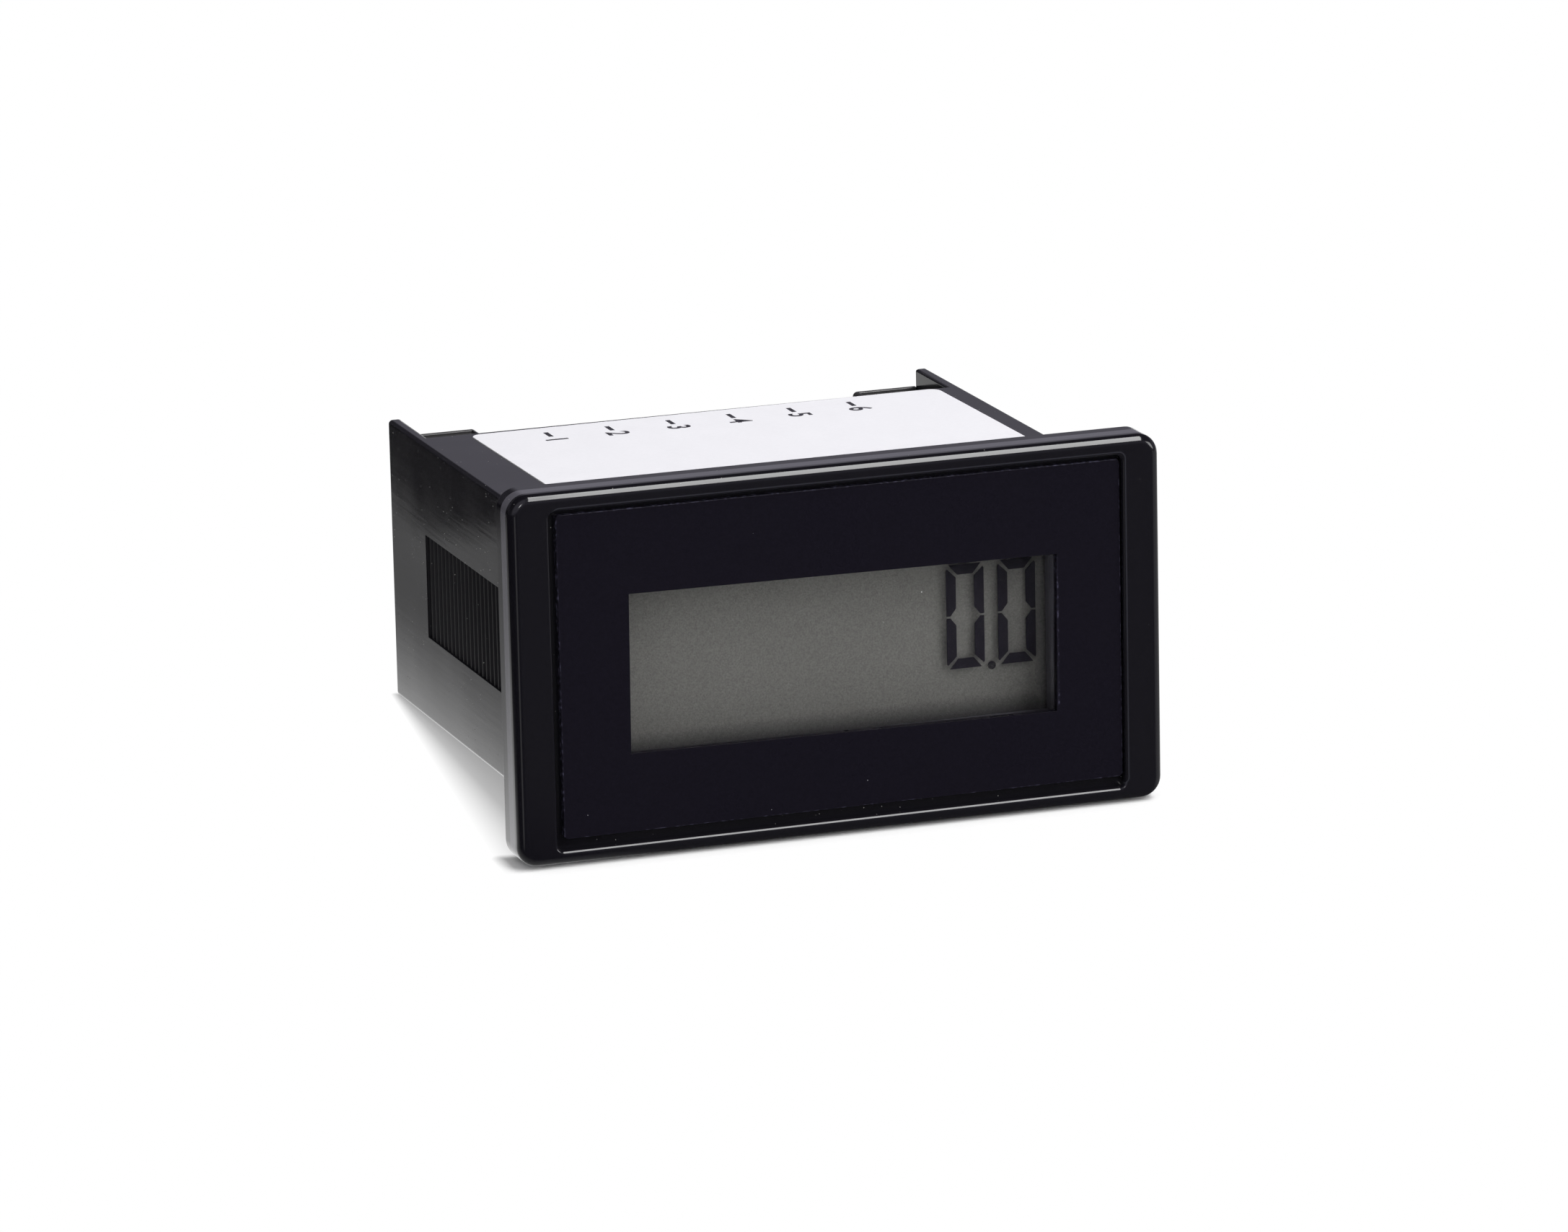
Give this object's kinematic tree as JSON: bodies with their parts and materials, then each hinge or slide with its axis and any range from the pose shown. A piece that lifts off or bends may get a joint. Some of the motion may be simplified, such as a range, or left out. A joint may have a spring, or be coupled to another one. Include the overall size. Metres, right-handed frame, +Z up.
{
  "type": "panel counter",
  "caption": "Panel-mount counter: a flat black bezel with a liquid crystal window on a deep case, ratchet racks at its sides and screw terminals at the rear.",
  "frame": {"origin": "middle of the bezel's rear face, the plane that seats on the panel", "axes": "+X to the right seen from the front, +Y from the front to the rear, +Z up"},
  "size_m": [0.0762, 0.0619, 0.042],
  "materials": {
    "case_plastic": "polished black moulded plastic",
    "panel_film": "black printed film with a slight purple cast",
    "window_clear": "clear window of the front film",
    "frame_plastic": "dull black moulding",
    "display_glass": "display glass",
    "display_ink": "dark liquid crystal segments",
    "display_back": "grey-olive reflective film, fine grained",
    "contact_rubber": "striped conductive rubber",
    "board_green": "solder-masked board",
    "chip_black": "moulded epoxy",
    "header_black": "header strip with gilt pins",
    "can_steel": "drawn steel can",
    "tab_nickel": "nickel strip",
    "sleeve_blue": "shrink sleeve",
    "block_plastic": "black moulded plastic, slightly duller than the case",
    "contact_brass": "plated brass",
    "label_paper": "white matt label",
    "clamp_plate": "zinc-plated steel",
    "screw_zinc": "zinc-plated steel"
  },
  "bodies": {
    "case": {"housing": "case_plastic", "front_panel": "panel_film", "window_lens": "window_clear", "display_frame": "frame_plastic", "front_glass": "display_glass", "rear_glass": "display_glass", "display_segments": "display_ink", "reflector": "display_back", "contact_strip_upper": "contact_rubber", "contact_strip_lower": "contact_rubber", "display_board": "board_green", "display_driver": "chip_black", "board_header": "header_black", "main_board": "board_green", "quartz_crystal": "can_steel", "lithium_cell": "can_steel", "cell_tab_left": "tab_nickel", "cell_tab_right": "tab_nickel", "capacitors": "sleeve_blue", "input_resistors": "chip_black", "terminal_block": "block_plastic", "contact_plates": "contact_brass", "deck_label": "label_paper"},
    "clamp_1": {"clamp_1": "clamp_plate"},
    "screw_1": {"screw_1": "screw_zinc"},
    "clamp_2": {"clamp_2": "clamp_plate"},
    "screw_2": {"screw_2": "screw_zinc"},
    "clamp_3": {"clamp_3": "clamp_plate"},
    "screw_3": {"screw_3": "screw_zinc"},
    "clamp_4": {"clamp_4": "clamp_plate"},
    "screw_4": {"screw_4": "screw_zinc"},
    "clamp_5": {"clamp_5": "clamp_plate"},
    "screw_5": {"screw_5": "screw_zinc"},
    "clamp_6": {"clamp_6": "clamp_plate"},
    "screw_6": {"screw_6": "screw_zinc"}
  },
  "joints": [
    {"name": "clamp_lift_1", "type": "slide", "parent": "case", "child": "clamp_1", "axis": [0, 1, 0], "range_m": [0, 0.002]},
    {"name": "screw_turn_1", "type": "hinge", "parent": "clamp_1", "child": "screw_1", "pos_m": [-0.01905, 0.0502, 0.001], "axis": [0, 1, 0], "range_deg": [0, 1440]},
    {"name": "clamp_lift_2", "type": "slide", "parent": "case", "child": "clamp_2", "axis": [0, 1, 0], "range_m": [0, 0.002]},
    {"name": "screw_turn_2", "type": "hinge", "parent": "clamp_2", "child": "screw_2", "pos_m": [-0.01143, 0.0502, 0.001], "axis": [0, 1, 0], "range_deg": [0, 1440]},
    {"name": "clamp_lift_3", "type": "slide", "parent": "case", "child": "clamp_3", "axis": [0, 1, 0], "range_m": [0, 0.002]},
    {"name": "screw_turn_3", "type": "hinge", "parent": "clamp_3", "child": "screw_3", "pos_m": [-0.00381, 0.0502, 0.001], "axis": [0, 1, 0], "range_deg": [0, 1440]},
    {"name": "clamp_lift_4", "type": "slide", "parent": "case", "child": "clamp_4", "axis": [0, 1, 0], "range_m": [0, 0.002]},
    {"name": "screw_turn_4", "type": "hinge", "parent": "clamp_4", "child": "screw_4", "pos_m": [0.00381, 0.0502, 0.001], "axis": [0, 1, 0], "range_deg": [0, 1440]},
    {"name": "clamp_lift_5", "type": "slide", "parent": "case", "child": "clamp_5", "axis": [0, 1, 0], "range_m": [0, 0.002]},
    {"name": "screw_turn_5", "type": "hinge", "parent": "clamp_5", "child": "screw_5", "pos_m": [0.01143, 0.0502, 0.001], "axis": [0, 1, 0], "range_deg": [0, 1440]},
    {"name": "clamp_lift_6", "type": "slide", "parent": "case", "child": "clamp_6", "axis": [0, 1, 0], "range_m": [0, 0.002]},
    {"name": "screw_turn_6", "type": "hinge", "parent": "clamp_6", "child": "screw_6", "pos_m": [0.01905, 0.0502, 0.001], "axis": [0, 1, 0], "range_deg": [0, 1440]}
  ],
  "couplings": [
    {"joint": "screw_turn_1", "follows": "clamp_lift_1", "rad_per_m": 12566},
    {"joint": "screw_turn_2", "follows": "clamp_lift_2", "rad_per_m": 12566},
    {"joint": "screw_turn_3", "follows": "clamp_lift_3", "rad_per_m": 12566},
    {"joint": "screw_turn_4", "follows": "clamp_lift_4", "rad_per_m": 12566},
    {"joint": "screw_turn_5", "follows": "clamp_lift_5", "rad_per_m": 12566},
    {"joint": "screw_turn_6", "follows": "clamp_lift_6", "rad_per_m": 12566}
  ]
}
